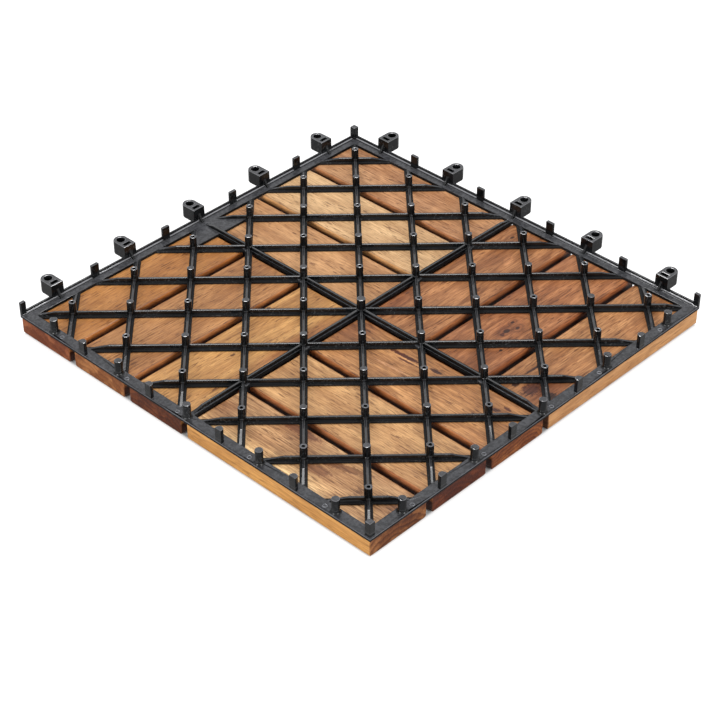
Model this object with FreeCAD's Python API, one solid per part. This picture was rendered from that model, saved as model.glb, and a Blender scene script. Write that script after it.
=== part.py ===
import FreeCAD, Part
import math
import os

# All lengths are in millimetres. The tile lies with its walking face down
# and its moulded base up. Lines below are laid out from the tile's centre;
# the finished shapes are moved so that the origin is the middle of the
# whole outline, on the walking face.

# wood slats
slatWidth = 45.0
slatGap = 5.0
slatThick = 12.0
walkEdgeRadius = 2.5
baseEdgeRadius = 1.2
slatEndRound = 2.0
slatCornerCut = 0.4
slatsPerQuarter = 3

# moulded base, heights above the wood
overhang = 0.5
flangeWidth = 7.2
flangeThick = 2.0
stripThick = 1.5
ribHeight = 4.2
footHeight = 11.5

# diagonal lattice
ribPitch = 50.0
ribLast = 5
webWidth = 1.6
stripWidth = 4.6
rampRun = 8.0
footRadius = 2.37
footSides = 8
centreFootRadius = 2.9

# ribs on the two middle lines, with round pads under their crossings
crossTopWidth = 1.9
crossBodyWidth = 3.7
crossBodyHeight = 2.2
padRadius = 4.1
padHeight = 2.1
padSides = 12

# square pins that hold the slats, pressed in through the hollow feet
pinHoleRadius = 1.15
pinHoleSides = 6
pinSide = 1.2
pinDepth = 8.0
pinStandsUp = 0.8

# joining posts and feet of the two front edges
joinPitch = 59.5
postInset = 3.5
postRadius = 2.45
edgeFootWidth = 5.0
edgeFootReach = 3.6
edgeFootSteps = 6
cornerFootSide = 4.0
cornerFootInset = 1.0
cornerFootCut = 1.2

# wall, joining loops and feet of the two back edges
wallThick = 1.2
ledgeWidth = 1.4
ledgeHeight = 0.7
loopLift = 0.2
loopClearance = 0.3
loopWall = 1.95
loopEndSides = 16
loopInner = 1.4
slotLong = 5.4
slotWide = 2.4
slotFromWall = 1.5
buttressWide = 1.5
buttressRun = 3.9
buttressHeight = 5.5
bladeWide = 5.7
bladeThick = 2.0
bladeInset = 0.6
cornerBladeLong = 3.7
farFootSide = 4.0

# filled corner between the lattice and the back edge
plateInner = 126.0
plateThick = 2.0

# derived sizes
slatPitch = slatWidth + slatGap
quarterStart = slatGap / 2
quarterEnd = quarterStart + slatsPerQuarter * slatPitch - slatGap
slatLength = quarterEnd - quarterStart
outline = quarterEnd + overhang
flangeInner = outline - flangeWidth
module = 2 * slatsPerQuarter * slatPitch
postLine = outline - postInset
loopLine = module - postLine
loopHoleRadius = postRadius + loopClearance
loopEndRadius = loopHoleRadius + loopWall
loopReach = loopLine + loopEndRadius
woodTop = slatThick
flangeTop = woodTop + flangeThick
stripTop = woodTop + stripThick
ribTop = woodTop + ribHeight
footTop = woodTop + footHeight
ledgeTop = flangeTop + ledgeHeight
loopFloor = flangeTop + loopLift
pinSeat = flangeTop
shift = (loopReach - outline) / 2
root2 = math.sqrt(2)
joinSpots = [joinPitch * i for i in range(-2, 3)]
footSpots = [joinPitch * (i + 0.5) for i in range(-2, 2)]


def vec(x, y, z):
    return FreeCAD.Vector(x, y, z)


def block(x0, y0, z0, x1, y1, z1):
    return Part.makeBox(x1 - x0, y1 - y0, z1 - z0, vec(x0, y0, z0))


def rod(x, y, z0, z1, radius):
    return Part.makeCylinder(radius, z1 - z0, vec(x, y, z0))


def flat(points):
    return Part.Face(Part.makePolygon(points + points[:1]))


def prism(points, z0, z1):
    return flat([vec(x, y, z0) for x, y in points]).extrude(vec(0, 0, z1 - z0))


def manySided(x, y, radius, sides):
    turns = [2 * math.pi * (k + 0.5) / sides for k in range(sides)]
    return [(x + radius * math.cos(t), y + radius * math.sin(t)) for t in turns]


def upright(points, along, across, start, width):
    # a sheet standing on a line: points are (distance along it, height)
    half = across * (width / 2)
    spots = [start + along * s + vec(0, 0, z) - half for s, z in points]
    return flat(spots).extrude(across * width)


def swapped(shape):
    # mirror in the diagonal x = y, so that a back or front edge serves both sides
    return shape.mirror(vec(0, 0, 0), vec(1, -1, 0))


def eased(half0, half1, low, high, radiusLow, radiusHigh, stepsLow, stepsHigh):
    # corners of a rectangle eased by short flats that follow a round
    corners = [
        (half0 + radiusLow, low + radiusLow, radiusLow, 180, stepsLow),
        (half1 - radiusLow, low + radiusLow, radiusLow, 270, stepsLow),
        (half1 - radiusHigh, high - radiusHigh, radiusHigh, 0, stepsHigh),
        (half0 + radiusHigh, high - radiusHigh, radiusHigh, 90, stepsHigh),
    ]
    spots = []
    for a, b, radius, start, steps in corners:
        for k in range(steps + 1):
            turn = math.radians(start + 90 * k / steps)
            spots.append((a + radius * math.cos(turn), b + radius * math.sin(turn)))
    return spots


def makeSlat():
    # one slat along X from 0 to its length, centred on Y = 0
    half = slatWidth / 2
    section = eased(-half, half, 0, slatThick, walkEdgeRadius, baseEdgeRadius, 3, 2)
    body = flat([vec(0, y, z) for y, z in section]).extrude(vec(slatLength, 0, 0))
    side = eased(0, slatLength, 0, slatThick, slatEndRound, baseEdgeRadius, 2, 2)
    side = flat([vec(x, -half, z) for x, z in side])
    body = body.common(side.extrude(vec(0, slatWidth, 0)))
    plan = eased(0, slatLength, -half, half, slatCornerCut, slatCornerCut, 1, 1)
    return body.common(prism(plan, 0, slatThick))


def fullRib(reach, height, run):
    # height line of one rib: level, then down to the flange over the run at each end
    return [
        (-reach, woodTop), (-reach, flangeTop), (-reach + run, height),
        (reach - run, height), (reach, flangeTop), (reach, woodTop)
    ]


def latticeParts():
    parts = []
    for turn in (1, -1):
        along = vec(1, -turn, 0) / root2
        across = vec(1, turn, 0) / root2
        for n in range(-ribLast, ribLast + 1):
            middle = across * (ribPitch * n / root2)
            reach = (flangeInner - abs(n) * ribPitch / 2) * root2
            line = fullRib(reach, ribTop, rampRun * root2)
            parts.append(upright(line, along, across, middle, webWidth))
            far = reach + stripWidth / 2
            strip = [(-far, woodTop), (-far, stripTop), (far, stripTop), (far, woodTop)]
            parts.append(upright(strip, along, across, middle, stripWidth))
    return parts


def crossParts():
    parts = []
    for along, across in ((vec(1, 0, 0), vec(0, 1, 0)), (vec(0, 1, 0), vec(1, 0, 0))):
        line = fullRib(flangeInner, ribTop, rampRun)
        parts.append(upright(line, along, across, vec(0, 0, 0), crossTopWidth))
        bodyTop = woodTop + crossBodyHeight
        reach = flangeInner + 1
        low = [(-reach, woodTop), (-reach, flangeTop), (-flangeInner, flangeTop),
               (-flangeInner + rampRun, bodyTop), (flangeInner - rampRun, bodyTop),
               (flangeInner, flangeTop), (reach, flangeTop), (reach, woodTop)]
        parts.append(upright(low, along, across, vec(0, 0, 0), crossBodyWidth))
        for n in (-2, -1, 1, 2):
            spot = along * (ribPitch * n)
            plan = manySided(spot.x, spot.y, padRadius, padSides)
            parts.append(prism(plan, woodTop, woodTop + padHeight))
    return parts


def footPlaces():
    # every crossing of the lattice; True where it stands over the middle of a slat
    places = []
    for i in range(-ribLast, ribLast + 1):
        for j in range(-ribLast, ribLast + 1):
            if (i - j) % 2 == 0:
                places.append((ribPitch / 2 * i, ribPitch / 2 * j, i % 2 != 0))
    return places


def frontParts():
    # the edge at low Y; its twin at low X is the same, mirrored
    parts = []
    for x in joinSpots:
        parts.append(rod(x, -postLine, woodTop, footTop, postRadius))
    half = edgeFootWidth / 2
    inner = -outline + edgeFootReach - half
    for x in footSpots:
        parts.append(block(x - half, -outline, woodTop, x + half, inner, footTop))
        turns = [math.pi * k / edgeFootSteps for k in range(edgeFootSteps + 1)]
        plan = [(x + half * math.cos(t), inner + half * math.sin(t)) for t in turns]
        parts.append(prism(plan, woodTop, footTop))
    return parts


def loopParts():
    # solid bodies of the edge at high Y
    parts = [
        block(-outline, outline - wallThick, woodTop, outline, outline, ribTop),
        block(-outline, outline - wallThick - ledgeWidth, woodTop,
              outline, outline, ledgeTop),
    ]
    inner = outline - loopInner
    for x in joinSpots:
        parts.append(block(x - loopEndRadius, inner, loopFloor,
                           x + loopEndRadius, loopLine, footTop))
        corner = loopEndRadius / math.cos(math.pi / loopEndSides)
        plan = manySided(x, loopLine, corner, loopEndSides)
        parts.append(prism(plan, loopFloor, footTop))
        line = [(0, flangeTop - 0.5), (0, flangeTop + buttressHeight),
                (-buttressRun, flangeTop), (-buttressRun, flangeTop - 0.5)]
        parts.append(upright(line, vec(0, 1, 0), vec(1, 0, 0),
                             vec(x, inner, 0), buttressWide))
    high = outline - bladeInset
    for x in footSpots:
        parts.append(block(x - bladeWide / 2, high - bladeThick, woodTop,
                           x + bladeWide / 2, high, footTop))
    parts.append(block(-outline, outline - bladeThick, woodTop,
                       -outline + cornerBladeLong, outline, footTop))
    return parts


def loopCuts():
    cuts = []
    for x in joinSpots:
        cuts.append(rod(x, loopLine, loopFloor - 1, footTop + 1, loopHoleRadius))
        middle = outline + slotFromWall
        cuts.append(block(x - slotLong / 2, middle - slotWide / 2, loopFloor - 1,
                          x + slotLong / 2, middle + slotWide / 2, footTop + 1))
    return cuts


def makeBase():
    ring = block(-outline, -outline, woodTop, outline, outline, flangeTop)
    ring = ring.cut(block(-flangeInner, -flangeInner, woodTop - 1,
                          flangeInner, flangeInner, flangeTop + 1))
    parts = latticeParts() + crossParts()
    for x, y, pinned in footPlaces():
        radius = centreFootRadius if x == y == 0 else footRadius
        plan = manySided(x, y, radius, footSides)
        parts.append(prism(plan, woodTop, footTop))
    for edge in (frontParts(), loopParts()):
        parts += edge
        parts += [swapped(shape) for shape in edge]
    low = -outline + cornerFootInset
    high = low + cornerFootSide
    cut = high - cornerFootCut
    parts.append(prism([(low, low), (high, low), (high, cut), (cut, high), (low, high)],
                       woodTop, footTop))
    inner = outline - farFootSide
    parts.append(prism([(outline, outline), (inner, outline), (inner, inner),
                        (outline, inner)], woodTop, footTop))
    slope = 3 * ribPitch
    parts.append(prism([(plateInner - slope, plateInner), (slope - plateInner, plateInner),
                        (slope - flangeInner, flangeInner + 1),
                        (flangeInner - slope, flangeInner + 1)],
                       woodTop, woodTop + plateThick))
    body = ring.fuse(parts)
    cuts = loopCuts()
    cuts += [swapped(shape) for shape in cuts]
    for x, y, pinned in footPlaces():
        if pinned:
            plan = manySided(x, y, pinHoleRadius, pinHoleSides)
            cuts.append(prism(plan, pinSeat, footTop + 1))
            cuts.append(block(x - pinSide / 2, y - pinSide / 2, woodTop - 1,
                              x + pinSide / 2, y + pinSide / 2, pinSeat + 1))
    body = body.cut(Part.Compound(cuts))
    return body.removeSplitter()


def makePins():
    half = pinSide / 2
    return [block(x - half, y - half, woodTop - pinDepth, x + half, y + half,
                  pinSeat + pinStandsUp) for x, y, pinned in footPlaces() if pinned]


def save(name, shapes):
    for shape in shapes:
        shape.translate(vec(-shift, -shift, 0))
    whole = shapes[0] if len(shapes) == 1 else Part.Compound(shapes)
    whole.exportStep("parts/" + name + ".step")


os.makedirs("parts", exist_ok=True)
base = makeBase()
solids = base.Solids
print("base solids", len(solids), "valid", base.isValid())
pins = makePins()
pinBlock = Part.Compound(pins)
plain = makeSlat()
quarters = {
    "left": (-quarterEnd, 1, False),
    "near": (-quarterEnd, -1, True),
    "right": (quarterStart, -1, False),
    "far": (quarterStart, 1, True),
}
for quarter in quarters:
    start, side, upward = quarters[quarter]
    for n in range(slatsPerQuarter):
        middle = quarterStart + slatWidth / 2 + n * slatPitch
        slat = plain.copy()
        slat.translate(vec(start, side * middle, 0))
        if upward:
            # these run along Y: the layout is mirrored in the diagonal
            slat = swapped(slat)
        slat = slat.cut(pinBlock)
        save("slat_" + quarter + "_" + str(n + 1), slat.Solids)
save("base_grid", solids)
save("fixing_pins", pins)
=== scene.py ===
import math
import bpy
import bmesh
from mathutils import Matrix, Vector


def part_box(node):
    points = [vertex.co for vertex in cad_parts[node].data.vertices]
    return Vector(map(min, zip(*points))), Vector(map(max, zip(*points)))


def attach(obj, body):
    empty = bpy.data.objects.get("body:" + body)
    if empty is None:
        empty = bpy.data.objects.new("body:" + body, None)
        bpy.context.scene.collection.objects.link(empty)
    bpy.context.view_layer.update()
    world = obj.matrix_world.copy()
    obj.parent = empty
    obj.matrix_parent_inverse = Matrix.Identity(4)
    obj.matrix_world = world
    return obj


# An interlocking deck tile lying on its walking face, moulded base up.
# Everything is in metres, in the same frame as the solids.

mm = 0.001
white = (1.0, 1.0, 1.0, 1.0)

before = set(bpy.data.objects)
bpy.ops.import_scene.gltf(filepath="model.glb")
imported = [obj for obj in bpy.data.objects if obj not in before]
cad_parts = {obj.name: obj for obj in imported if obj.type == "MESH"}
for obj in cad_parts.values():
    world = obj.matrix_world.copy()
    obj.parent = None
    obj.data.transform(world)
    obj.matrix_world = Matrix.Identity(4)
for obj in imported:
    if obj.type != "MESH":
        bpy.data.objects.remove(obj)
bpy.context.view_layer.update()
print("solids loaded:", len(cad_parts))


# shader helpers

def newGroup(name, inputs, outputs):
    group = bpy.data.node_groups.new(name, "ShaderNodeTree")
    for label, kind, value in inputs:
        socket = group.interface.new_socket(name=label, in_out="INPUT", socket_type=kind)
        if value is not None:
            socket.default_value = value
    for label, kind in outputs:
        group.interface.new_socket(name=label, in_out="OUTPUT", socket_type=kind)
    return group, group.nodes.new("NodeGroupInput"), group.nodes.new("NodeGroupOutput")


def placeGroup(tree, group):
    node = tree.nodes.new("ShaderNodeGroup")
    node.node_tree = group
    return node


def feed(tree, source, target):
    # joins an output to an input, or sets a plain value on it
    if isinstance(source, (int, float, tuple)):
        target.default_value = source
    else:
        tree.links.new(source, target)


def mathNode(tree, operation, first, second=0.0, third=None):
    node = tree.nodes.new("ShaderNodeMath")
    node.operation = operation
    feed(tree, first, node.inputs[0])
    feed(tree, second, node.inputs[1])
    if third is not None:
        feed(tree, third, node.inputs[2])
    return node.outputs[0]


def rangeNode(tree, value, low, high, toLow=0.0, toHigh=1.0, kind="SMOOTHSTEP"):
    node = tree.nodes.new("ShaderNodeMapRange")
    node.interpolation_type = kind
    feed(tree, value, node.inputs["Value"])
    for label, number in (("From Min", low), ("From Max", high), ("To Min", toLow), ("To Max", toHigh)):
        feed(tree, number, node.inputs[label])
    return node.outputs["Result"]


def zoneNode(tree, value, start, end):
    # 1 from the start to the end, each a pair that says where its fade begins and stops
    return mathNode(tree, "SUBTRACT", rangeNode(tree, value, *start), rangeNode(tree, value, *end))


def splitNode(tree, vector):
    node = tree.nodes.new("ShaderNodeSeparateXYZ")
    feed(tree, vector, node.inputs[0])
    return node.outputs


def lengthNode(tree, vector):
    node = tree.nodes.new("ShaderNodeVectorMath")
    node.operation = "LENGTH"
    feed(tree, vector, node.inputs[0])
    return node.outputs["Value"]


def stretchNode(tree, vector, location=(0.0, 0.0, 0.0), scale=(1.0, 1.0, 1.0), rotation=(0.0, 0.0, 0.0)):
    node = tree.nodes.new("ShaderNodeMapping")
    feed(tree, vector, node.inputs["Vector"])
    node.inputs["Location"].default_value = location
    node.inputs["Rotation"].default_value = rotation
    node.inputs["Scale"].default_value = scale
    return node.outputs["Vector"]


def distanceNode(tree, spot, center, scale):
    # distance from a centre, with each direction weighted
    away = tree.nodes.new("ShaderNodeVectorMath")
    away.operation = "SUBTRACT"
    feed(tree, spot, away.inputs[0])
    feed(tree, center, away.inputs[1])
    return lengthNode(tree, stretchNode(tree, away.outputs[0], scale=scale))


def noiseNode(tree, vector, scale, detail=2.0, roughness=0.5):
    node = tree.nodes.new("ShaderNodeTexNoise")
    feed(tree, vector, node.inputs["Vector"])
    node.inputs["Scale"].default_value = scale
    node.inputs["Detail"].default_value = detail
    node.inputs["Roughness"].default_value = roughness
    node.inputs["Distortion"].default_value = 0.0
    return node.outputs["Fac"]


def mixColor(tree, factor, first, second, blend="MIX"):
    node = tree.nodes.new("ShaderNodeMix")
    node.data_type = "RGBA"
    node.blend_type = blend
    node.clamp_factor = True
    feed(tree, factor, node.inputs[0])
    feed(tree, first, node.inputs[6])
    feed(tree, second, node.inputs[7])
    return node.outputs[2]


def bumpNode(tree, height, strength, depth):
    node = tree.nodes.new("ShaderNodeBump")
    node.inputs["Strength"].default_value = strength
    node.inputs["Distance"].default_value = depth
    feed(tree, height, node.inputs["Height"])
    return node.outputs["Normal"]


def newMaterial(name):
    material = bpy.data.materials.new(name)
    material.use_nodes = True
    tree = material.node_tree
    place = tree.nodes.new("ShaderNodeTexCoord").outputs["Object"]
    return material, tree, tree.nodes["Principled BSDF"], place


def normalNode(tree):
    return splitNode(tree, tree.nodes.new("ShaderNodeNewGeometry").outputs["Normal"])


# camera

cameraView = {
    "position": (-0.73022, -0.69672, 0.73202),
    "azimuth": -46.393,
    "elevation": 37.132,
    "roll": 0.109,
    "lens": 99.382,
    "sensorWidth": 36.0,
    "clip": (0.01, 50.0),
}


def makeCamera(view):
    data = bpy.data.cameras.new("photoView")
    data.lens = view["lens"]
    data.sensor_width = view["sensorWidth"]
    data.clip_start, data.clip_end = view["clip"]
    camera = bpy.data.objects.new("photoView", data)
    bpy.context.scene.collection.objects.link(camera)
    turn = math.radians(view["azimuth"])
    tilt = math.radians(view["elevation"])
    back = Vector((math.sin(turn) * math.cos(tilt), -math.cos(turn) * math.cos(tilt), math.sin(tilt)))
    right = Vector((math.cos(turn), math.sin(turn), 0.0))
    up = back.cross(right)
    roll = math.radians(view["roll"])
    sideways = right * math.cos(roll) + up * math.sin(roll)
    upwards = up * math.cos(roll) - right * math.sin(roll)
    facing = Matrix((sideways, upwards, back)).transposed().to_4x4()
    camera.matrix_world = Matrix.Translation(view["position"]) @ facing
    bpy.context.scene.camera = camera


makeCamera(cameraView)
bpy.context.scene.view_settings.view_transform = "Standard"


# lamps, world and floor

studio = {
    "target": (0.0, 0.0, 0.02),
    # place, side of the square, and the share of full white on a white face turned to the lamp
    "lamps": {
        "topLamp": ((0.20, 0.24, 1.15), 0.55, 0.75),
        "leftLamp": ((-1.5, -0.05, 0.55), 0.6, 0.78),
        "rightLamp": ((-0.1, -1.5, 0.55), 0.6, 0.75),
    },
    "worldLevel": 0.2,
    "floorSide": 8.0,
    "floorDrop": 0.1 * mm,
    "floorColor": (0.55, 0.55, 0.55, 1.0),
    "floorGlow": 0.68,
    # distance over which the floor's glow rises to full white
    "glowRise": (0.8, 2.2),
    # both edges of the square beneath the slats, the same on X and Y, and the width of their fade
    "shaded": (-0.1536, 0.1414),
    "shadeFade": 0.002,
}


def makeLamp(name, place, side, share, target):
    data = bpy.data.lights.new(name, "AREA")
    data.shape = "SQUARE"
    data.size = side
    reach = Vector(place) - Vector(target)
    data.energy = share * math.pi * math.pi * reach.length_squared
    lamp = bpy.data.objects.new(name, data)
    bpy.context.scene.collection.objects.link(lamp)
    lamp.matrix_world = Matrix.Translation(place) @ reach.to_track_quat("Z", "Y").to_matrix().to_4x4()


def makeWorld(level):
    world = bpy.data.worlds.new("studio")
    bpy.context.scene.world = world
    world.use_nodes = True
    tree = world.node_tree
    tree.nodes.clear()
    path = tree.nodes.new("ShaderNodeLightPath")
    # full white to the camera and in reflections, a low level as a light
    seen = mathNode(tree, "MAXIMUM", path.outputs["Is Camera Ray"], path.outputs["Is Transmission Ray"])
    seen = mathNode(tree, "MAXIMUM", seen, path.outputs["Is Glossy Ray"])
    glow = tree.nodes.new("ShaderNodeBackground")
    glow.inputs["Color"].default_value = white
    feed(tree, rangeNode(tree, seen, 0.0, 1.0, level, 1.0, "LINEAR"), glow.inputs["Strength"])
    out = tree.nodes.new("ShaderNodeOutputWorld")
    tree.links.new(glow.outputs["Background"], out.inputs["Surface"])


def makeFloorMaterial(values):
    material = bpy.data.materials.new("paleFloor")
    material.use_nodes = True
    tree = material.node_tree
    tree.nodes.clear()
    place = tree.nodes.new("ShaderNodeTexCoord").outputs["Object"]
    # far out, where the lamps hardly reach, the glow makes up for them
    near, far = values["glowRise"]
    level = rangeNode(tree, lengthNode(tree, place), near, far, values["floorGlow"], 1.0, "LINEAR")
    # under the slats the floor keeps its own shade
    low, high = values["shaded"]
    fade = values["shadeFade"]
    spot = splitNode(tree, place)
    away = 0.0
    for axis in ("X", "Y"):
        before = rangeNode(tree, spot[axis], low, low + fade, 1.0, 0.0, "LINEAR")
        after = rangeNode(tree, spot[axis], high - fade, high, 0.0, 1.0, "LINEAR")
        away = mathNode(tree, "MAXIMUM", away, mathNode(tree, "MAXIMUM", before, after))
    seen = mathNode(tree, "MULTIPLY", tree.nodes.new("ShaderNodeLightPath").outputs["Is Camera Ray"], away)
    glow = tree.nodes.new("ShaderNodeEmission")
    glow.inputs["Color"].default_value = white
    feed(tree, mathNode(tree, "MULTIPLY", seen, level), glow.inputs["Strength"])
    plain = tree.nodes.new("ShaderNodeBsdfDiffuse")
    plain.inputs["Color"].default_value = values["floorColor"]
    both = tree.nodes.new("ShaderNodeAddShader")
    tree.links.new(plain.outputs[0], both.inputs[0])
    tree.links.new(glow.outputs[0], both.inputs[1])
    out = tree.nodes.new("ShaderNodeOutputMaterial")
    tree.links.new(both.outputs[0], out.inputs["Surface"])
    return material


def makeFloor(values):
    shape = bmesh.new()
    bmesh.ops.create_grid(shape, x_segments=1, y_segments=1, size=values["floorSide"] / 2)
    bmesh.ops.translate(shape, verts=shape.verts, vec=(0.0, 0.0, -values["floorDrop"]))
    mesh = bpy.data.meshes.new("floor")
    shape.to_mesh(mesh)
    shape.free()
    mesh.materials.append(makeFloorMaterial(values))
    floor = bpy.data.objects.new("floor", mesh)
    bpy.context.scene.collection.objects.link(floor)


for lampName in studio["lamps"]:
    place, side, share = studio["lamps"][lampName]
    makeLamp(lampName, place, side, share, studio["target"])
makeWorld(studio["worldLevel"])
makeFloor(studio)
print("studio ready")


# shared shader groups

woodGrain = {
    # noise: scale along and across the slat, detail, roughness, shift
    "bend": (11.0, 40.0, 2.0, 0.5, (0.0, 0.0, 0.0)),
    "ripple": (60.0, 300.0, 2.0, 0.55, (0.0, 0.0, 0.0)),
    "streaks": (42.0, 860.0, 3.0, 0.62, (0.0, 0.0, 0.0)),
    "fibre": (130.0, 1500.0, 2.0, 0.6, (0.0, 0.0, 0.0)),
    "dashes": (120.0, 1000.0, 1.0, 0.5, (5.0, 3.0, 1.0)),
    "poreFields": (26.0, 120.0, 1.0, 0.5, (3.0, 1.0, 0.0)),
    "bands": (14.0, 80.0, 3.0, 0.6, (7.0, 5.0, 2.0)),
    # the part of each noise that is spread from none to full
    "streakRange": (0.42, 0.64),
    "fibreRange": (0.42, 0.62),
    "bandRange": (0.36, 0.64),
    "poreRange": (0.0, 0.05),
    # how far the noise of the pore fields lowers the level that a dash has to pass
    "poreFieldShare": -0.34,
    "poreLevel": 0.8,
    "ringsPerMetre": 300.0,
    # how the heart line is weighted, and how far noise and knots push the rings, in metres
    "heartWeight": (0.07, 1.0, 1.0),
    "bendPush": 0.02,
    "ripplePush": 0.0016,
    "knotPush": 0.007,
    # a knot is longer along the grain, with an uneven edge and a paler rim
    "knotWeight": (0.6, 1.0, 0.0),
    "knotNoise": 260.0,
    "knotWobble": 0.5,
    "knotCore": (0.3, 0.7),
    "knotRimIn": (0.7, 1.0),
    "knotRimOut": (1.0, 1.5),
    "knotRim": 0.35,
    "knotReach": (0.6, 5.0),
    # share of pores, fibre and streaks in the bump
    "poreDepth": -0.8,
    "fibreHeight": 0.25,
    "streakHeight": 0.45,
}


def makeWoodGroup(values):
    # the grain runs along X; the position is in metres, moved to a place of its own for every slat
    number = "NodeSocketFloat"
    vector = "NodeSocketVector"
    # the third number of a knot is its size; one that isn't set lies far off the slat
    unset = (9.0, 9.0, 0.001)
    group, given, made = newGroup(
        "slatGrain",
        [("Position", vector, None), ("Ring Scale", number, 1.0), ("Heart", vector, None),
         ("Knot 1", vector, unset), ("Knot 2", vector, unset), ("Knot 3", vector, unset)],
        [("Rings", number), ("Streaks", number), ("Fibre", number), ("Pores", number),
         ("Bands", number), ("Knots", number), ("Height", number)])
    spot = given.outputs["Position"]

    def alongGrain(label):
        along, across, detail, roughness, shift = values[label]
        stretched = stretchNode(group, spot, location=shift, scale=(along, across, across))
        return noiseNode(group, stretched, 1.0, detail, roughness)

    wobble = noiseNode(group, spot, values["knotNoise"], 2.0)
    wobble = mathNode(group, "MULTIPLY_ADD", wobble, values["knotWobble"], -values["knotWobble"] / 2)
    knots = 0.0
    pushed = 0.0
    for label in ("Knot 1", "Knot 2", "Knot 3"):
        apart = distanceNode(group, spot, given.outputs[label], values["knotWeight"])
        apart = mathNode(group, "DIVIDE", apart, splitNode(group, given.outputs[label])["Z"])
        apart = mathNode(group, "ADD", apart, wobble)
        core = rangeNode(group, apart, *values["knotCore"], 1.0, 0.0)
        rim = mathNode(
            group, "MULTIPLY", rangeNode(group, apart, *values["knotRimIn"]),
            rangeNode(group, apart, *values["knotRimOut"], values["knotRim"], 0.0))
        knots = mathNode(group, "MAXIMUM", knots, mathNode(group, "MAXIMUM", core, rim))
        reach = rangeNode(group, apart, *values["knotReach"], 1.0, 0.0)
        pushed = mathNode(group, "MAXIMUM", pushed, reach)
    # growth rings round a heart line that runs nearly along the slat
    radius = distanceNode(group, spot, given.outputs["Heart"], values["heartWeight"])
    radius = mathNode(group, "MULTIPLY_ADD", alongGrain("bend"), values["bendPush"], radius)
    radius = mathNode(group, "MULTIPLY_ADD", alongGrain("ripple"), values["ripplePush"], radius)
    radius = mathNode(group, "MULTIPLY_ADD", pushed, values["knotPush"], radius)
    turns = mathNode(group, "MULTIPLY", radius, values["ringsPerMetre"])
    part = mathNode(group, "FRACT", mathNode(group, "MULTIPLY", turns, given.outputs["Ring Scale"]))
    # a ring darkens slowly and ends in a sharp line
    rings = mathNode(
        group, "MULTIPLY", rangeNode(group, part, 0.05, 0.85), rangeNode(group, part, 0.86, 1.0, 1.0, 0.0))
    # streaks about a millimetre wide, finer fibre, and the dashes of open pores
    streaks = rangeNode(group, alongGrain("streaks"), *values["streakRange"])
    fibre = rangeNode(group, alongGrain("fibre"), *values["fibreRange"])
    edge = mathNode(
        group, "MULTIPLY_ADD", alongGrain("poreFields"), values["poreFieldShare"], values["poreLevel"])
    dashes = mathNode(group, "SUBTRACT", alongGrain("dashes"), edge)
    pores = rangeNode(group, dashes, *values["poreRange"])
    bands = rangeNode(group, alongGrain("bands"), *values["bandRange"])
    height = mathNode(group, "MULTIPLY", fibre, values["fibreHeight"])
    height = mathNode(group, "MULTIPLY_ADD", pores, values["poreDepth"], height)
    height = mathNode(group, "MULTIPLY_ADD", streaks, values["streakHeight"], height)
    results = {"Rings": rings, "Streaks": streaks, "Fibre": fibre, "Pores": pores,
               "Bands": bands, "Knots": knots, "Height": height}
    for label in results:
        group.links.new(results[label], made.inputs[label])
    return group


figureShape = {
    "noise": 620.0,
    "noiseDetail": 3.0,
    "noiseRoughness": 0.65,
    # each pair is for a ragged figure and for a slow change of tone
    "raggedness": (1.8, 0.5),
    "inner": (0.75, 0.2),
    "outer": (1.3, 1.5),
}


def makeFigureGroup(values):
    # one oval on a face, for a dark or pale figure or a slow change of tone
    group, given, made = newGroup(
        "slatFigure",
        [("Position", "NodeSocketVector", None), ("Centre", "NodeSocketVector", None),
         ("Turn", "NodeSocketVector", None), ("Size", "NodeSocketVector", (1.0, 1.0, 1.0)),
         # 0 for a sharp, ragged figure, 1 for a slow change of tone
         ("Soft", "NodeSocketFloat", 0.0)],
        [("Mask", "NodeSocketFloat")])
    local = group.nodes.new("ShaderNodeMapping")
    local.vector_type = "TEXTURE"
    targets = {"Position": "Vector", "Centre": "Location", "Turn": "Rotation", "Size": "Scale"}
    for label in targets:
        group.links.new(given.outputs[label], local.inputs[targets[label]])

    def bySoftness(label):
        sharp, slow = values[label]
        return mathNode(group, "MULTIPLY_ADD", given.outputs["Soft"], slow - sharp, sharp)

    ragged = noiseNode(
        group, given.outputs["Position"], values["noise"], values["noiseDetail"], values["noiseRoughness"])
    rough = mathNode(group, "MULTIPLY", mathNode(group, "SUBTRACT", ragged, 0.5), bySoftness("raggedness"))
    apart = mathNode(group, "ADD", lengthNode(group, local.outputs["Vector"]), rough)
    mask = rangeNode(group, apart, bySoftness("inner"), bySoftness("outer"), 1.0, 0.0)
    group.links.new(mask, made.inputs["Mask"])
    return group


def makeMouldGroup():
    # the fine skin of moulded plastic, soft patches, and pale rubbing
    number = "NodeSocketFloat"
    group, given, made = newGroup(
        "mouldedSkin",
        [("Position", "NodeSocketVector", None)],
        [("Patches", number), ("Mottle", number), ("Rubbing", number), ("Height", number)])
    spot = given.outputs["Position"]
    patches = rangeNode(group, noiseNode(group, spot, 75.0, 3.0, 0.6), 0.3, 0.7)
    mottle = rangeNode(group, noiseNode(group, spot, 480.0, 4.0, 0.65), 0.4, 0.62)
    flecks = rangeNode(group, noiseNode(group, spot, 800.0, 2.0, 0.6), 0.55, 0.68)
    fields = noiseNode(group, stretchNode(group, spot, location=(2.0, 4.0, 1.0)), 45.0, 2.0)
    rubbing = mathNode(group, "MULTIPLY", flecks, rangeNode(group, fields, 0.42, 0.6))
    grain = mathNode(group, "MULTIPLY", noiseNode(group, spot, 1700.0, 2.0), 0.8)
    height = mathNode(group, "MULTIPLY_ADD", noiseNode(group, spot, 420.0, 2.0), 2.0, grain)
    results = {"Patches": patches, "Mottle": mottle, "Rubbing": rubbing, "Height": height}
    for label in results:
        group.links.new(results[label], made.inputs[label])
    return group


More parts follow.
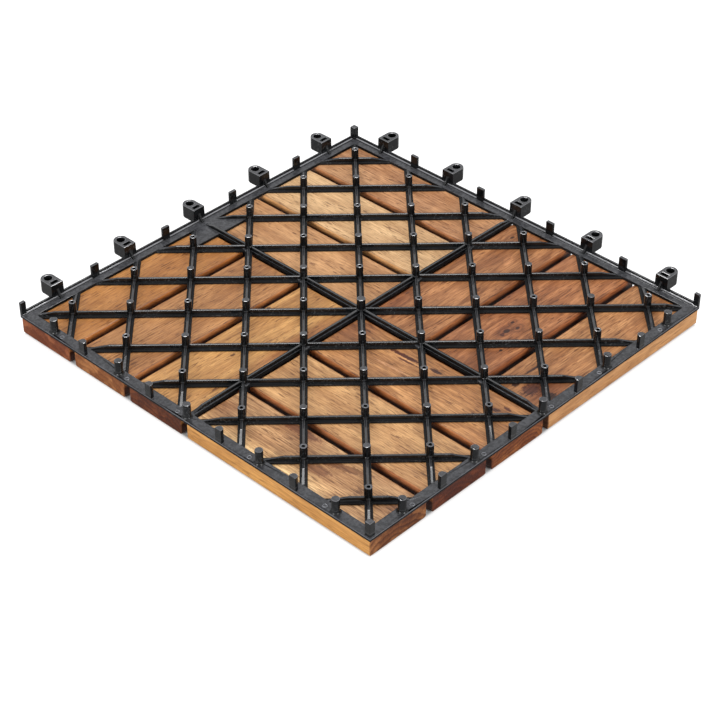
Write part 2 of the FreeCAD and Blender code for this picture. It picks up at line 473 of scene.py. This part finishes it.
woodGroup = makeWoodGroup(woodGrain)
figureGroup = makeFigureGroup(figureShape)
mouldGroup = makeMouldGroup()
print("shader groups ready")


# the twelve slats

# for each slat: colour of the faces and of the cut ends, what its side faces multiply that colour by,
# its place in the log, ring scale, and strength of rings, bands and streaks
# a knot is x, y and size in millimetres
# a figure or a tone is x, y, half its length and half its width in millimetres, its turn in degrees,
# its strength, and what it multiplies the colour by; figures are ragged and tones are soft
# the sides multipliers paint light and shade onto the side faces
slatFinish = {
    "slat_left_1": {
        "wood": (0.748, 0.412, 0.147), "ends": (0.133, 0.035, 0.009), "sides": (1.0, 0.85, 0.688),
        "log": (0.4, 0.1, 0.02), "ringScale": 0.8, "rings": 0.25, "bands": 0.69, "streaks": 0.29,
        "figures": (
            (-41.9, 39.0, 1.6, 1.0, 0.0, 0.9, (0.12, 0.06, 0.05)),
            (-90.1, 19.8, 1.8, 1.0, 0.0, 0.9, (0.15, 0.08, 0.06)),
        ),
        "tones": (
            # painted shade along the long edge beside the middle rib
            (-58.0, 0.0, 46.0, 6.0, 0.0, 1.0, (0.7, 0.55, 0.52)),
        ),
    },
    "slat_left_2": {
        "wood": (0.578, 0.285, 0.11), "ends": (0.375, 0.155, 0.051), "sides": (0.975, 0.775, 0.65),
        "log": (1.3, 0.2, 0.01), "ringScale": 0.9, "rings": 0.2, "bands": 0.62, "streaks": 0.39,
    },
    "slat_left_3": {
        "wood": (0.568, 0.258, 0.077), "ends": (0.268, 0.082, 0.029), "sides": (0.975, 0.775, 0.65),
        "log": (2.2, 0.35, 0.03), "ringScale": 0.6, "rings": 0.2, "bands": 0.62, "streaks": 0.25,
    },
    "slat_near_1": {
        "wood": (0.687, 0.353, 0.141), "ends": (0.309, 0.105, 0.028), "sides": (0.806, 0.582, 0.482),
        "log": (3.1, 0.12, 0.02), "ringScale": 1.1, "rings": 0.35, "bands": 0.62, "streaks": 0.49,
        "figures": (
            (-19.7, -55.5, 11.0, 1.5, -87.0, 0.95, (0.16, 0.05, 0.05)),
            (-23.0, -60.0, 7.0, 0.8, -86.0, 0.9, (0.2, 0.08, 0.07)),
            (-33.2, -56.5, 14.0, 0.9, -87.0, 0.9, (1.5, 1.7, 2.2)),
            (-18.0, -79.0, 3.8, 1.5, -85.0, 0.95, (0.14, 0.06, 0.06)),
            (-21.4, -128.5, 3.4, 1.3, -80.0, 0.9, (0.2, 0.07, 0.06)),
            (-16.1, -132.9, 3.0, 1.2, -95.0, 0.9, (0.2, 0.07, 0.06)),
        ),
        "tones": (
            (-20.0, -14.0, 16.0, 20.0, 90.0, 1.0, (0.58, 0.46, 0.42)),
        ),
    },
    "slat_near_2": {
        "wood": (0.747, 0.433, 0.189), "ends": (0.115, 0.025, 0.006), "sides": (0.762, 0.504, 0.448),
        "log": (4.3, 0.22, 0.02), "ringScale": 0.9, "rings": 0.25, "bands": 0.62, "streaks": 0.38,
    },
    "slat_near_3": {
        "wood": (0.808, 0.493, 0.239), "ends": (0.278, 0.11, 0.036), "sides": (0.786, 0.644, 0.361),
        "log": (5.2, 0.31, 0.01), "ringScale": 0.8, "rings": 0.35, "bands": 0.75, "streaks": 0.56,
        "figures": (
            (-113.0, -58.0, 16.0, 3.0, -87.0, 0.9, (0.5, 0.36, 0.3)),
            (-120.0, -99.0, 20.0, 2.6, -74.0, 0.9, (0.45, 0.34, 0.28)),
            (-131.0, -92.0, 9.0, 3.5, -80.0, 0.9, (0.55, 0.42, 0.37)),
        ),
        "tones": (
            (-143.0, -62.0, 46.0, 8.0, 90.0, 1.0, (1.55, 1.8, 1.9)),
            (-114.0, -62.0, 20.0, 8.0, 90.0, 1.0, (0.65, 0.55, 0.5)),
            (-126.0, -13.0, 12.0, 9.0, 90.0, 1.0, (0.6, 0.5, 0.45)),
            (-122.0, -147.0, 9.0, 10.0, 90.0, 1.0, (0.6, 0.5, 0.46)),
        ),
    },
    "slat_right_1": {
        "wood": (0.576, 0.266, 0.109), "ends": (0.26, 0.11, 0.06), "sides": (0.874, 0.694, 0.616),
        "log": (6.4, 0.16, 0.02), "ringScale": 1.1, "rings": 0.5, "bands": 0.88, "streaks": 0.41,
        "knots": (
            (123.1, -18.9, 2.1),
        ),
        "figures": (
            (100.4, -34.4, 6.0, 2.6, 20.0, 0.8, (1.35, 1.4, 1.5)),
        ),
        "tones": (
            (18.0, -13.0, 18.0, 10.0, 0.0, 1.0, (0.75, 0.64, 0.6)),
        ),
    },
    "slat_right_2": {
        "wood": (0.578, 0.251, 0.103), "ends": (0.26, 0.11, 0.06), "sides": (0.918, 0.739, 0.672),
        "log": (7.1, 0.27, 0.02), "ringScale": 0.9, "rings": 0.45, "bands": 0.88, "streaks": 0.41,
        "knots": (
            (41.6, -82.8, 3.3),
            (48.9, -85.7, 2.6),
            (51.2, -79.7, 2.0),
        ),
        "figures": (
            (46.0, -82.5, 12.0, 5.5, 0.0, 0.3, (0.75, 0.5, 0.42)),
            (24.4, -93.1, 1.1, 0.9, 0.0, 0.95, (0.05, 0.03, 0.03)),
            (37.3, -83.4, 2.0, 1.2, 20.0, 0.9, (0.25, 0.12, 0.1)),
        ),
    },
    "slat_right_3": {
        "wood": (0.675, 0.342, 0.144), "ends": (0.26, 0.12, 0.06), "sides": (0.859, 0.878, 0.83),
        "log": (8.3, 0.37, 0.02), "ringScale": 0.7, "rings": 0.35, "bands": 0.88, "streaks": 0.49,
        "figures": (
            (5.3, -121.1, 2.8, 1.8, 0.0, 0.95, (0.06, 0.03, 0.03)),
            (8.1, -130.9, 7.0, 5.0, 0.0, 0.95, (0.26, 0.18, 0.24)),
            (11.3, -143.4, 2.8, 2.8, 0.0, 0.95, (0.1, 0.05, 0.05)),
            (22.5, -119.2, 6.5, 0.9, -2.0, 0.95, (0.12, 0.05, 0.05)),
            (32.0, -116.5, 6.5, 0.7, 32.0, 0.95, (0.15, 0.07, 0.06)),
        ),
        "tones": (
            (14.0, -138.0, 20.0, 14.0, 0.0, 1.0, (0.56, 0.42, 0.4)),
        ),
    },
    "slat_far_1": {
        "wood": (0.717, 0.397, 0.184), "ends": (0.3, 0.14, 0.07), "sides": (0.975, 0.825, 0.675),
        "log": (9.2, 0.13, 0.03), "ringScale": 0.7, "rings": 0.2, "bands": 0.62, "streaks": 0.29,
    },
    "slat_far_2": {
        "wood": (0.843, 0.552, 0.288), "ends": (0.4, 0.21, 0.1), "sides": (1.025, 0.85, 0.65),
        "log": (10.4, 0.24, 0.02), "ringScale": 0.7, "rings": 0.2, "bands": 0.44, "streaks": 0.23,
    },
    "slat_far_3": {
        "wood": (0.684, 0.362, 0.175), "ends": (0.26, 0.12, 0.06), "sides": (0.925, 0.75, 0.65),
        "log": (11.3, 0.36, 0.01), "ringScale": 0.8, "rings": 0.3, "bands": 0.69, "streaks": 0.39,
        "tones": (
            (104.0, 112.0, 24.0, 12.0, 90.0, 1.0, (1.2, 1.35, 1.45)),
        ),
    },
}


woodLook = {
    # what each part of the grain multiplies the colour by
    "shades": {
        "Bands": (0.56, 0.45, 0.36, 1.0),
        "Rings": (0.38, 0.27, 0.2, 1.0),
        "Streaks": (0.34, 0.24, 0.18, 1.0),
        "Fibre": (0.4, 0.3, 0.23, 1.0),
        "Pores": (0.24, 0.15, 0.11, 1.0),
        "Knots": (0.08, 0.035, 0.03, 1.0),
    },
    "pores": 0.7,
    "knots": 0.95,
    # the fibre has this strength, and this share of the slat's streaks on top
    "fibre": 0.36,
    "fibreFromStreaks": 0.3,
    # the heart line's place, from the middle of the slat
    "heart": (0.02, 0.006, -0.045),
    # how much less grain, and more or less ring, the cut ends and the sides show
    "endGrain": -0.65,
    "endRings": 1.3,
    "sideGrain": -0.5,
    # the tile's middle is this far below zero on X and Y, and the outer sides start this far from it
    "shift": 6.1 * mm,
    "outerSide": (146.0 * mm, 147.2 * mm),
    # height over which painted shade darkens the walls of the gaps towards the walking face
    "gapFade": (7.2 * mm, 9.8 * mm),
    "gapShade": (0.11, 0.06, 0.055, 1.0),
    # painted shade on the eased long edges, above all beside the gaps
    "easedEdgeShade": (0.5, 0.38, 0.32, 1.0),
    "easedEdgeShadeLevel": 0.25,
    "easedEdgeShadeAtGaps": 0.3,
    "roughness": 0.34,
    "streakRoughness": 0.14,
    "endRoughness": 0.3,
    "gloss": 0.3,
    "bump": 0.6,
    "bumpDepth": 0.15 * mm,
}


def makeWood(name, values, look, alongY):
    material, tree, shader, place = newMaterial(name + "Wood")
    turn = math.radians(-90.0 if alongY else 0.0)
    quarter = Matrix.Rotation(turn, 3, "Z")
    log = Vector(values["log"])
    grain = placeGroup(tree, woodGroup)
    feed(tree, stretchNode(tree, place, location=log, rotation=(0.0, 0.0, turn)), grain.inputs["Position"])
    grain.inputs["Ring Scale"].default_value = values["ringScale"]
    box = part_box(name)
    middle = (Vector(box[0]) + Vector(box[1])) / 2
    grain.inputs["Heart"].default_value = quarter @ middle + log + Vector(look["heart"])
    for number, (x, y, size) in enumerate(values.get("knots", ())):
        knot = quarter @ Vector((x, y, 0.0)) * mm + log
        grain.inputs["Knot " + str(number + 1)].default_value = (knot[0], knot[1], size * mm)
    # cut ends are the faces that look along the grain, sides the ones that look across it
    facing = normalNode(tree)
    lengthwise = mathNode(tree, "ABSOLUTE", facing["Y" if alongY else "X"])
    across = mathNode(tree, "ABSOLUTE", facing["X" if alongY else "Y"])
    endFace = rangeNode(tree, lengthwise, 0.45, 0.85)
    sideFace = rangeNode(tree, across, 0.45, 0.85)
    eased = mathNode(
        tree, "MULTIPLY", rangeNode(tree, across, 0.06, 0.25), rangeNode(tree, across, 0.5, 0.8, 1.0, 0.0))
    onSides = mathNode(tree, "MULTIPLY_ADD", sideFace, look["sideGrain"], 1.0)
    plainer = mathNode(tree, "MULTIPLY_ADD", endFace, look["endGrain"], onSides)
    ringed = mathNode(tree, "MULTIPLY_ADD", endFace, look["endRings"], onSides)
    color = mixColor(tree, endFace, values["wood"] + (1.0,), values["ends"] + (1.0,))
    # painted light and shade on the side faces
    color = mixColor(tree, sideFace, color, values["sides"] + (1.0,), "MULTIPLY")
    marks = [mark + (0.0,) for mark in values.get("figures", ())]
    marks += [mark + (1.0,) for mark in values.get("tones", ())]
    for x, y, long, wide, degrees, strength, shade, soft in marks:
        figure = placeGroup(tree, figureGroup)
        figure.inputs["Soft"].default_value = soft
        feed(tree, place, figure.inputs["Position"])
        figure.inputs["Centre"].default_value = (x * mm, y * mm, 0.0)
        figure.inputs["Turn"].default_value = (0.0, 0.0, math.radians(degrees))
        figure.inputs["Size"].default_value = (long * mm, wide * mm, 1.0)
        amount = mathNode(tree, "MULTIPLY", figure.outputs["Mask"], strength)
        color = mixColor(tree, amount, color, shade + (1.0,), "MULTIPLY")
    # painted shade deep in the gaps between the slats, on the inner side faces only
    spot = splitNode(tree, place)
    fromMiddle = mathNode(tree, "ADD", spot["X" if alongY else "Y"], look["shift"])
    inner = rangeNode(tree, mathNode(tree, "ABSOLUTE", fromMiddle), *look["outerSide"], 1.0, 0.0)
    deep = mathNode(tree, "MULTIPLY", rangeNode(tree, spot["Z"], *look["gapFade"], 1.0, 0.0), inner)
    color = mixColor(tree, mathNode(tree, "MULTIPLY", deep, sideFace), color, look["gapShade"], "MULTIPLY")
    strengths = {
        "Bands": values["bands"],
        "Rings": values["rings"],
        "Streaks": values["streaks"],
        "Fibre": look["fibre"] + look["fibreFromStreaks"] * values["streaks"],
        "Pores": look["pores"],
        "Knots": look["knots"],
    }
    for label in strengths:
        amount = mathNode(tree, "MULTIPLY", grain.outputs[label], strengths[label])
        amount = mathNode(tree, "MULTIPLY", amount, ringed if label in ("Rings", "Bands") else plainer)
        color = mixColor(tree, amount, color, look["shades"][label], "MULTIPLY")
    # painted shade on the eased long edges, stronger beside the gaps
    easedShadeAmount = mathNode(tree, "MULTIPLY_ADD", inner, look["easedEdgeShadeAtGaps"], look["easedEdgeShadeLevel"])
    color = mixColor(tree, mathNode(tree, "MULTIPLY", eased, easedShadeAmount), color, look["easedEdgeShade"], "MULTIPLY")
    feed(tree, color, shader.inputs["Base Color"])
    streaks = grain.outputs["Streaks"]
    dull = mathNode(tree, "MULTIPLY_ADD", streaks, look["streakRoughness"], look["roughness"])
    dull = mathNode(tree, "MULTIPLY_ADD", endFace, look["endRoughness"], dull)
    feed(tree, dull, shader.inputs["Roughness"])
    shader.inputs["Specular IOR Level"].default_value = look["gloss"]
    bump = bumpNode(tree, grain.outputs["Height"], look["bump"], look["bumpDepth"])
    feed(tree, bump, shader.inputs["Normal"])
    return material


# the moulded base

plasticFinish = {
    "dark": (0.0025, 0.0027, 0.003, 1.0),
    "light": (0.0055, 0.006, 0.0068, 1.0),
    "paintedLightColor": (0.34, 0.345, 0.38, 1.0),
    # the near-white ledge colour is a painted highlight
    "ledgeHighlightColor": (0.7, 0.7, 0.74, 1.0),
    "spotColor": (0.12, 0.125, 0.13, 1.0),
    # share of the pale colour painted on the upper faces as light falling from above, then how much more
    # of it the flanges get
    "upper": 0.085,
    "flange": 0.5,
    # share of the pale colour painted as a highlight everywhere, on the crests, on the rims of the tips
    # and on the front lip
    "everywhere": 0.0,
    "crest": 0.03,
    "tips": 0.22,
    "lip": 0.35,
    "ledge": 0.3,
    "spots": 0.25,
    # mottle of the upper faces, over this level, and how much of it the crests lose
    "mottle": 0.7,
    "mottleLevel": 0.7,
    "crestLoss": -0.7,
    "patches": 0.6,
    "patchLevel": 0.5,
    # weight of the coat on the crests and the ledge, and on all but the low strips
    "crestPolish": 0.48,
    "ledgePolish": 0.55,
    "sheen": 0.1,
    "coatIor": 1.9,
    "coatRoughness": 0.08,
    "gloss": 0.16,
    "roughness": 0.2,
    "lowRoughness": 0.45,
    "patchRoughness": 0.08,
    "bump": 0.5,
    "bumpDepth": 0.06 * mm,
    # heights above the floor where each zone fades in and out
    "lowTop": (13.55 * mm, 13.9 * mm),
    "crestStart": (16.1 * mm, 16.18 * mm),
    "crestEnd": (16.3 * mm, 16.5 * mm),
    "ledgeStart": (14.5 * mm, 14.65 * mm),
    "ledgeEnd": (14.75 * mm, 14.85 * mm),
    "lipStart": (13.4 * mm, 13.6 * mm),
    "lipEnd": (14.05 * mm, 14.15 * mm),
    "flangeTop": (14.1 * mm, 14.3 * mm),
    "tipStart": (23.15 * mm, 23.45 * mm),
    # on X and Y: where the walls of the back edges and the ledge before them start, and the front lip
    "wallFrom": (140.3 * mm, 140.7 * mm),
    "ledgeFrom": (138.7 * mm, 138.9 * mm),
    "lipFrom": (-153.9 * mm, -153.6 * mm),
    # radius of the moulded edges, and the turn between faces from which an edge is rounded
    "edge": 0.35 * mm,
    "edgeSteps": 2,
    "edgeTurn": 32.0,
    "weld": 0.005 * mm,
}


def makePlastic(name, finish):
    material, tree, shader, place = newMaterial(name)

    def times(first, second):
        return mathNode(tree, "MULTIPLY", first, second)

    def scaled(value, factor, level):
        return mathNode(tree, "MULTIPLY_ADD", value, factor, level)

    skin = placeGroup(tree, mouldGroup)
    feed(tree, place, skin.inputs["Position"])
    patches = skin.outputs["Patches"]
    spot = splitNode(tree, place)
    height = spot["Z"]
    upright = normalNode(tree)["Z"]
    # painted highlight on the crests and tip rims, painted light on the upper faces; the low strips beside
    # the wood get neither and stay dark and dull
    upper = rangeNode(tree, upright, 0.55, 0.95)
    low = rangeNode(tree, height, *finish["lowTop"], 1.0, 0.0)
    crest = zoneNode(tree, height, finish["crestStart"], finish["crestEnd"])
    # the outer walls behind the ledge stay dark
    for side in ("X", "Y"):
        crest = times(crest, rangeNode(tree, spot[side], *finish["wallFrom"], 1.0, 0.0))
    atBack = mathNode(tree, "MAXIMUM", spot["X"], spot["Y"])
    ledge = zoneNode(tree, height, finish["ledgeStart"], finish["ledgeEnd"])
    ledge = times(times(ledge, rangeNode(tree, atBack, *finish["ledgeFrom"])), upper)
    # painted highlight on the outer lip of the front flanges
    atFront = mathNode(tree, "MINIMUM", spot["X"], spot["Y"])
    lip = rangeNode(tree, atFront, *finish["lipFrom"], 1.0, 0.0)
    lip = times(lip, mathNode(tree, "SUBTRACT", 1.0, upper))
    lip = times(lip, zoneNode(tree, height, finish["lipStart"], finish["lipEnd"]))
    # painted highlight on the rounded rim of a tip, stronger than on its top
    rim = rangeNode(tree, height, *finish["tipStart"])
    rim = times(rim, rangeNode(tree, upright, 0.94, 0.995, 1.0, 0.25))
    # painted highlight: pale colour on the crests, the tip rims and the front lip, varied by the patches
    paintedHighlight = scaled(crest, finish["crest"], finish["everywhere"])
    paintedHighlight = scaled(rim, finish["tips"], paintedHighlight)
    paintedHighlight = scaled(lip, finish["lip"], paintedHighlight)
    paintedHighlight = times(paintedHighlight, scaled(patches, finish["patches"], finish["patchLevel"]))
    polish = mathNode(tree, "MAXIMUM", times(crest, finish["crestPolish"]), rim)
    polish = mathNode(tree, "MAXIMUM", polish, times(ledge, finish["ledgePolish"]))
    polish = mathNode(tree, "MAXIMUM", polish, scaled(low, -finish["sheen"], finish["sheen"]))
    feed(tree, polish, shader.inputs["Coat Weight"])
    shader.inputs["Coat IOR"].default_value = finish["coatIor"]
    shader.inputs["Coat Roughness"].default_value = finish["coatRoughness"]
    # painted light: upward faces paler as if lit from above, mottled, none on the low strips, less on the
    # crests, more on the flange tops
    paintedTopLight = times(upper, mathNode(tree, "SUBTRACT", 1.0, low))
    paintedTopLight = times(paintedTopLight, scaled(skin.outputs["Mottle"], finish["mottle"], finish["mottleLevel"]))
    paintedTopLight = times(paintedTopLight, scaled(crest, finish["crestLoss"], 1.0))
    flange = rangeNode(tree, height, *finish["flangeTop"], 1.0, 0.0)
    paintedTopLight = times(paintedTopLight, scaled(flange, finish["flange"], 1.0))
    color = mixColor(tree, patches, finish["dark"], finish["light"])
    color = mixColor(tree, times(paintedTopLight, finish["upper"]), color, finish["paintedLightColor"])
    color = mixColor(tree, paintedHighlight, color, finish["paintedLightColor"])
    # painted highlight on the back ledge
    color = mixColor(tree, times(ledge, finish["ledge"]), color, finish["ledgeHighlightColor"])
    color = mixColor(tree, times(skin.outputs["Rubbing"], finish["spots"]), color, finish["spotColor"])
    feed(tree, color, shader.inputs["Base Color"])
    shader.inputs["Specular IOR Level"].default_value = finish["gloss"]
    dull = scaled(low, finish["lowRoughness"], finish["roughness"])
    feed(tree, scaled(patches, finish["patchRoughness"], dull), shader.inputs["Roughness"])
    bump = bumpNode(tree, skin.outputs["Height"], finish["bump"], finish["bumpDepth"])
    feed(tree, bump, shader.inputs["Normal"])
    return material


def easeEdges(node, finish):
    piece = bpy.data.objects[node]
    weld = piece.modifiers.new("weld", "WELD")
    weld.merge_threshold = finish["weld"]
    ease = piece.modifiers.new("easedEdges", "BEVEL")
    ease.width = finish["edge"]
    ease.segments = finish["edgeSteps"]
    ease.limit_method = "ANGLE"
    ease.angle_limit = math.radians(finish["edgeTurn"])
    ease.use_clamp_overlap = False


# the pins

steelFinish = {
    "dark": (0.34, 0.34, 0.35, 1.0),
    "light": (0.5, 0.5, 0.51, 1.0),
    "spotColor": (0.2, 0.17, 0.15, 1.0),
    # drawn wire: fine scores along the pin, and duller spots
    "scoreScale": (5200.0, 5200.0, 260.0),
    "scoreRange": (0.35, 0.65),
    "spotScale": 900.0,
    "spotRange": (0.5, 0.68),
    "roughness": 0.25,
    "scoreRoughness": 0.2,
    "spotRoughness": 0.25,
}


def makeSteel(finish):
    material, tree, shader, place = newMaterial("pinSteel")
    scores = noiseNode(tree, stretchNode(tree, place, scale=finish["scoreScale"]), 1.0, 2.0)
    spots = rangeNode(tree, noiseNode(tree, place, finish["spotScale"], 3.0, 0.6), *finish["spotRange"])
    color = mixColor(tree, rangeNode(tree, scores, *finish["scoreRange"]), finish["dark"], finish["light"])
    feed(tree, mixColor(tree, spots, color, finish["spotColor"]), shader.inputs["Base Color"])
    shader.inputs["Metallic"].default_value = 1.0
    dull = mathNode(tree, "MULTIPLY_ADD", scores, finish["scoreRoughness"], finish["roughness"])
    dull = mathNode(tree, "MULTIPLY_ADD", spots, finish["spotRoughness"], dull)
    feed(tree, dull, shader.inputs["Roughness"])
    return material


def dress(node, material):
    piece = bpy.data.objects[node]
    piece.data.materials.clear()
    piece.data.materials.append(material)


# small mouldings that the solids leave out; both follow the rows of joining posts

postRow = {
    "flangeTop": 14.0 * mm,
    # how far the row is from the middle, the pitch along it, and how far the middle is below zero
    "line": 150.6 * mm,
    "pitch": 59.5 * mm,
    "shift": 6.1 * mm,
    "count": 5,
    # steps of a full turn, and the distance under which points become one
    "steps": 32,
    "merge": 0.001 * mm,
}


def postSpots(row):
    spots = []
    middle = (row["count"] - 1) / 2
    for number in range(row["count"]):
        along = (number - middle) * row["pitch"] - row["shift"]
        spots.append((-row["line"], along))
        spots.append((along, -row["line"]))
    return spots


def spinRing(shape, profile, x, y, steps):
    # turns a closed profile of (radius, height) about an upright line
    loop = [shape.verts.new((x + radius, y, height)) for radius, height in profile]
    edges = [shape.edges.new((loop[i], loop[(i + 1) % len(loop)])) for i in range(len(loop))]
    bmesh.ops.spin(
        shape, geom=loop + edges, cent=(x, y, 0.0), axis=(0.0, 0.0, 1.0),
        dvec=(0.0, 0.0, 0.0), angle=2 * math.pi, steps=steps, use_merge=True)


def finishPiece(name, shape, material, merge):
    bmesh.ops.remove_doubles(shape, verts=shape.verts, dist=merge)
    bmesh.ops.recalc_face_normals(shape, faces=shape.faces)
    mesh = bpy.data.meshes.new(name)
    shape.to_mesh(mesh)
    shape.free()
    for face in mesh.polygons:
        face.use_smooth = True
    piece = bpy.data.objects.new(name, mesh)
    bpy.context.scene.collection.objects.link(piece)
    mesh.materials.append(material)
    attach(piece, "root")


# concave roots of the posts

rootShape = {
    "reach": 3.45 * mm,
    "height": 2.6 * mm,
    "inner": 1.9 * mm,
    "neck": 2.28 * mm,
    # how far the foot goes into the flange, and how far it stands out of it
    "sunk": 0.3 * mm,
    "lift": 0.02 * mm,
    "curveSteps": 6,
    # what differs from the base's plastic
    "finish": {"upper": 0.01, "roughness": 0.32},
}


def makePostRoots(values, row, material):
    shape = bmesh.new()
    base = row["flangeTop"]
    reach = values["reach"]
    foot = base + values["lift"]
    profile = [(values["inner"], base - values["sunk"]), (reach, base - values["sunk"]), (reach, foot)]
    for number in range(1, values["curveSteps"] + 1):
        turn = number / values["curveSteps"] * math.pi / 2
        radius = reach - (reach - values["neck"]) * math.sin(turn)
        profile.append((radius, foot + values["height"] * (1 - math.cos(turn))))
    profile.append((values["inner"], base + values["height"]))
    for x, y in postSpots(row):
        spinRing(shape, profile, x, y, row["steps"])
    finishPiece("postRoots", shape, material, row["merge"])


# small round marks beside the posts

markShape = {
    "radius": 1.5 * mm,
    "lip": 0.5 * mm,
    "height": 0.3 * mm,
    "sunk": 0.1 * mm,
    "fromPost": 7.5 * mm,
    "line": 151.1 * mm,
    # past this place along the row a mark lies before its post, up to it after its post
    "turnsAt": 30.0 * mm,
    # what differs from the base's plastic
    # the pale colour over the whole mark is a painted highlight
    "finish": {"everywhere": 0.6},
}


def makeMarks(values, row, material):
    shape = bmesh.new()
    base = row["flangeTop"]
    outer = values["radius"]
    inner = outer - values["lip"]
    middle = (outer + inner) / 2
    profile = [(inner, base - values["sunk"]), (outer, base - values["sunk"]), (outer, base),
               (middle, base + values["height"]), (inner, base)]
    for x, y in postSpots(row):
        onLeft = x < y
        along = y if onLeft else x
        moved = along + (-1.0 if along > values["turnsAt"] else 1.0) * values["fromPost"]
        spot = (-values["line"], moved) if onLeft else (moved, -values["line"])
        spinRing(shape, profile, *spot, row["steps"])
    finishPiece("mouldMarks", shape, material, row["merge"])


for slat in slatFinish:
    dress(slat, makeWood(slat, slatFinish[slat], woodLook, "near" in slat or "far" in slat))
dress("base_grid", makePlastic("blackPlastic", plasticFinish))
dress("fixing_pins", makeSteel(steelFinish))
easeEdges("base_grid", plasticFinish)
print("materials ready")
makePostRoots(rootShape, postRow, makePlastic("rootPlastic", {**plasticFinish, **rootShape["finish"]}))
makeMarks(markShape, postRow, makePlastic("markPlastic", {**plasticFinish, **markShape["finish"]}))
print("small mouldings ready")
